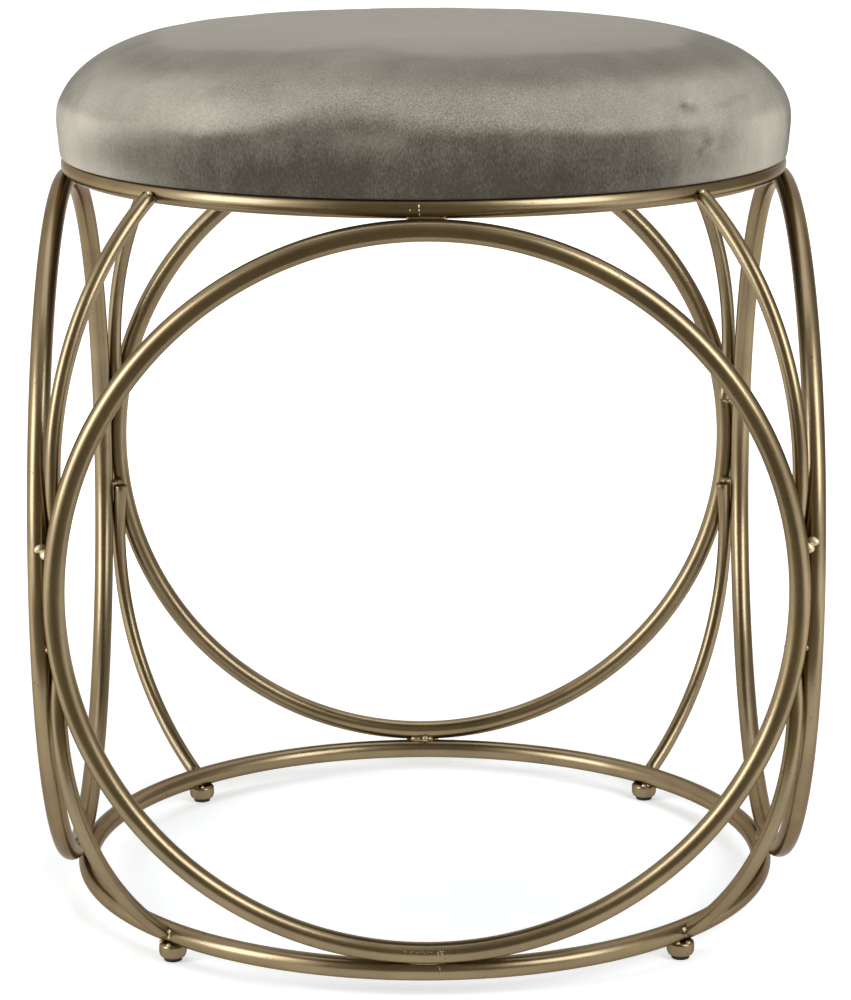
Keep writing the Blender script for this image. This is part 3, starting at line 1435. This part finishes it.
def paper_floor():
    """White paper, grey where the stool shades it and lost in the white of the room further out."""
    material, tree = new_material("white_paper_floor")
    place = add(tree, "TexCoord").outputs["Object"]
    away = add(tree, "VectorMath", {0: place}, operation="LENGTH")
    far = add(
        tree,
        "MapRange",
        {
            "Value": away.outputs["Value"],
            "From Min": FLOOR_FADE_FROM,
            "From Max": FLOOR_FADE_TO,
            "To Min": 0.45,
        },
        interpolation_type="SMOOTHSTEP",
    )
    glow = add(tree, "Math", {0: far.outputs[0], 1: seen_directly(tree)}, operation="MULTIPLY")
    paper = add(tree, "BsdfDiffuse", {"Color": linear("#F4F4F2")})
    white = add(tree, "Emission", {"Color": linear("#FFFFFF"), "Strength": glow.outputs[0]})
    both = add(tree, "AddShader", {0: paper.outputs[0], 1: white.outputs[0]})
    add(tree, "OutputMaterial", {"Surface": both.outputs[0]})
    bm = bmesh.new()
    bmesh.ops.create_circle(bm, cap_ends=True, segments=96, radius=FLOOR_RADIUS)
    set_up("studio_floor", bm, material)


def softboxes():
    """Wide and tall lamps at each side of the camera, and one overhead."""
    for name, place, aim, size, power in (
        ("left_softbox", (-1.7, -0.95, 0.9), (0, 0, 0.25), (0.95, 1.4), 26.5),
        ("right_softbox", (1.24, -1.24, 1.3), (0, 0, 0.25), (0.85, 1.5), 25.5),
        ("top_softbox", (0, 0.3, 2.1), (0, 0, 0.3), (1.6, 1.6), 8.5),
    ):
        lamp = bpy.data.lights.new(name, "AREA")
        lamp.shape = "RECTANGLE"
        lamp.size, lamp.size_y = size
        lamp.energy = power
        lamp.color = (0.95, 1.0, 1.05)
        holder = bpy.data.objects.new(name, lamp)
        bpy.context.scene.collection.objects.link(holder)
        holder.location = place
        holder.rotation_euler = (Vector(aim) - Vector(place)).to_track_quat("-Z", "Y").to_euler()


def cards():
    """Grey cards, as a photographer sets them, seen only in reflections. A warm dark one in front
    draws a core down each tube, a warm one lies on the floor, and paler ones overhead and at the
    right dim the tubes' far edges."""
    for name, place, size, tilt, turn, tone in (
        ("front_card", (0.2, -2.2, 1.4), (3.4, 2.8), QUARTER, 0, "#7B7567"),
        ("ceiling_card", (0.2, -1.4, 2.7), (3.4, 1.6), 0, 0, "#B3B3B3"),
        ("floor_card", (-0.17, -1.4, 0.004), (1.7, 2.1), 0, 0, "#8A8574"),
        ("right_card", (1.35, 0.5, 0.9), (1.5, 1.8), QUARTER, QUARTER, "#A8A8A8"),
    ):
        bm = bmesh.new()
        bmesh.ops.create_grid(bm, x_segments=1, y_segments=1, size=0.5)
        bmesh.ops.scale(bm, verts=bm.verts, vec=(*size, 1))
        swing(bm, tilt, "X")
        swing(bm, turn, "Z")
        shift(bm, place)
        material, tree = new_material(name + "_board")
        board = add(tree, "Emission", {"Color": linear(tone), "Strength": 1.0})
        add(tree, "OutputMaterial", {"Surface": board.outputs[0]})
        card = set_up(name, bm, material)
        card.visible_camera = False
        card.visible_diffuse = False
        card.visible_shadow = False


# The camera, fitted to the photograph: where it stands, how it turns, dips and rolls in radians,
# its sensor's height in millimetres, and its focal length in pixels of a picture of the height
# given. The shift is a share of that height.
CAMERA_PLACE = mm(-13.0, -1781.8, 629.7)
CAMERA_TURN, CAMERA_DIP, CAMERA_ROLL = 0.0077, 0.2270, -0.0017
CAMERA_SENSOR = 36
CAMERA_LENS_PIXELS = 3333.82
PICTURE_HEIGHT_PIXELS = 1000
CAMERA_SHIFT_SHARE = -0.00383


def photo_camera():
    """Looks down on the stool from in front, as in the photograph."""
    camera = bpy.data.cameras.new("photo_camera")
    camera.sensor_fit = "VERTICAL"
    camera.sensor_height = CAMERA_SENSOR
    camera.lens = CAMERA_SENSOR * CAMERA_LENS_PIXELS / PICTURE_HEIGHT_PIXELS
    camera.shift_y = CAMERA_SHIFT_SHARE
    eye = bpy.data.objects.new("photo_camera", camera)
    bpy.context.scene.collection.objects.link(eye)
    level = Vector((math.sin(CAMERA_TURN), math.cos(CAMERA_TURN), 0))
    ahead = level * math.cos(CAMERA_DIP) - Vector((0, 0, math.sin(CAMERA_DIP)))
    right = ahead.cross(Vector((0, 0, 1))).normalized()
    up = right.cross(ahead)
    rolled_right = right * math.cos(CAMERA_ROLL) + up * math.sin(CAMERA_ROLL)
    rolled_up = up * math.cos(CAMERA_ROLL) - right * math.sin(CAMERA_ROLL)
    stand = Matrix((rolled_right, rolled_up, -ahead)).transposed().to_4x4()
    stand.translation = CAMERA_PLACE
    eye.matrix_world = stand
    bpy.context.scene.camera = eye


bpy.context.scene.view_settings.view_transform = "Standard"
pale_room()
paper_floor()
softboxes()
cards()
photo_camera()
